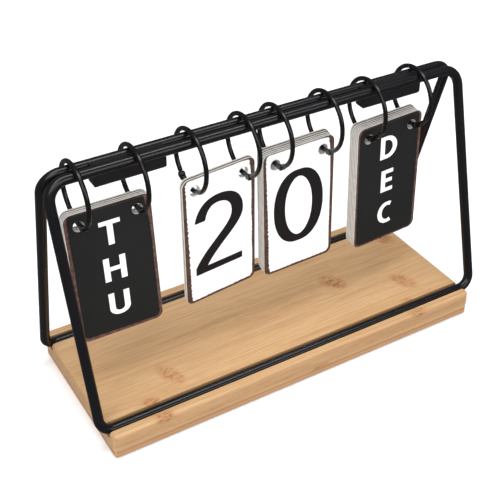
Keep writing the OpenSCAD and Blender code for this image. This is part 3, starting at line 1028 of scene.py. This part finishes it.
def build_lettering(node, matrix, half, text, stack, black, back):
    side = 1 if back else -1
    vertices, faces = shape_mesh(
        text_glyphs(text, stack), side * (half + INK_PROUD), side * (half - INK_SUNK), back)
    name = f"{node}_{'back' if back else 'front'}_lettering"
    mesh = bpy.data.meshes.new(name)
    mesh.from_pydata((vertices * MM).tolist(), [], faces)
    mesh.materials.append(MATERIALS["ink_white" if black else "ink_dark"])
    add_piece(name, mesh, matrix, node)


# front and back text of each card
STACKS = {
    "day": [("THU", "FRI"), ("SAT", "SUN"), ("MON", "TUE"), ("WED", "")],
    "tens": [("2", "3"), ("0", "1")],
    "units": [("0", "1"), ("2", "3"), ("4", "5"), ("6", "7"), ("8", "9")],
    "month": [
        ("DEC", "JAN"), ("FEB", "MAR"), ("APR", "MAY"),
        ("JUN", "JUL"), ("AUG", "SEP"), ("OCT", "NOV")],
}
seed = 11
for stack, cards in STACKS.items():
    black = stack in ("day", "month")
    for number, texts in enumerate(cards, 1):
        node = f"{stack}_card_{number}"
        # the model may hold fewer cards than the table
        if node not in nodes:
            continue
        seed += 7
        matrix, half = build_board(node, seed, black, stack)
        for back, text in zip((False, True), texts):
            if text:
                build_lettering(node, matrix, half, text, stack, black, back)

bevel("base_board", width=0.35, segments=3, angle=60)
for name in ("clip_left", "clip_right"):
    bevel(name, width=1.3, segments=4, angle=22)


# ------------------------------------------------------------------ floor, light, camera
def build_floor(size, z):
    s = size / 2
    mesh = bpy.data.meshes.new("floor")
    mesh.from_pydata([(-s, -s, z), (s, -s, z), (s, s, z), (-s, s, z)], [], [(0, 1, 2, 3)])
    floor = bpy.data.objects.new("floor", mesh)
    scene.collection.objects.link(floor)
    mat = Mat("floor_paper")
    cloud = mat.noise(scale=0.004, detail=2.0)
    colour = mat.mix(cloud, srgb(249, 249, 250), srgb(251, 251, 251))
    mat.surface(colour, roughness=0.9, specular=0.1)
    mesh.materials.append(mat.material)
    floor.visible_glossy = False


def build_world(colour, strength, glossy_strength):
    """An even sky, dimmer in reflections."""
    world = bpy.data.worlds.new("studio")
    scene.world = world
    world.use_nodes = True
    tree = world.node_tree
    tree.nodes.clear()
    output = tree.nodes.new("ShaderNodeOutputWorld")
    background = tree.nodes.new("ShaderNodeBackground")
    background.inputs[0].default_value = colour
    background.inputs[1].default_value = strength
    light_path = tree.nodes.new("ShaderNodeLightPath")
    dimmer = tree.nodes.new("ShaderNodeMapRange")
    for i, value in enumerate((0.0, 1.0, strength, glossy_strength), 1):
        dimmer.inputs[i].default_value = value
    tree.links.new(light_path.outputs["Is Glossy Ray"], dimmer.inputs[0])
    tree.links.new(dimmer.outputs[0], background.inputs[1])
    tree.links.new(background.outputs[0], output.inputs[0])


def area(name, place, target, size, power, colour):
    light = bpy.data.lights.new(name, "AREA")
    light.shape = "RECTANGLE"
    light.size, light.size_y = size
    light.energy = power
    light.color = colour
    lamp = bpy.data.objects.new(name, light)
    scene.collection.objects.link(lamp)
    lamp.location = place
    direction = Vector(target) - Vector(place)
    lamp.rotation_euler = direction.to_track_quat("-Z", "Y").to_euler()


def build_camera(place, backward, right, roll, lens):
    """A camera looking against backward, turned about that axis by roll degrees."""
    camera = bpy.data.cameras.new("camera")
    camera.sensor_fit = "HORIZONTAL"
    camera.sensor_width = 36.0
    camera.lens = lens
    camera.clip_start = 0.01
    camera.clip_end = 50.0
    holder = bpy.data.objects.new("camera", camera)
    scene.collection.objects.link(holder)
    backward = Vector(backward).normalized()
    right = Vector(right).normalized()
    up = backward.cross(right).normalized()
    c, s = math.cos(math.radians(roll)), math.sin(math.radians(roll))
    matrix = Matrix((right * c + up * s, up * c - right * s, backward)).transposed().to_4x4()
    matrix.translation = place
    holder.matrix_world = matrix
    scene.camera = holder


build_floor(size=8.0, z=-0.0002)
build_world(colour=(0.96, 0.98, 1.0, 1), strength=0.62, glossy_strength=0.16)
area("key", place=(-0.80, -0.85, 1.25), target=(0, 0, 0.08), size=(1.4, 0.9), power=12.0,
     colour=(1.0, 0.995, 0.985))
area("front", place=(0.45, -1.55, 0.85), target=(0, 0, 0.08), size=(1.2, 0.8), power=9.0,
     colour=(0.98, 0.99, 1.0))
area("top", place=(0.0, -0.05, 1.35), target=(0, 0, 0.1), size=(1.5, 0.30), power=12.0,
     colour=(1.0, 1.0, 1.0))
build_camera(place=(-0.28289, -0.45841, 0.46220), backward=(-0.4144, -0.6957, 0.5868),
             right=(0.8591, -0.5118, 0.0), roll=0.097, lens=71.28)
scene.view_settings.view_transform = "Standard"
scene.view_settings.look = "None"
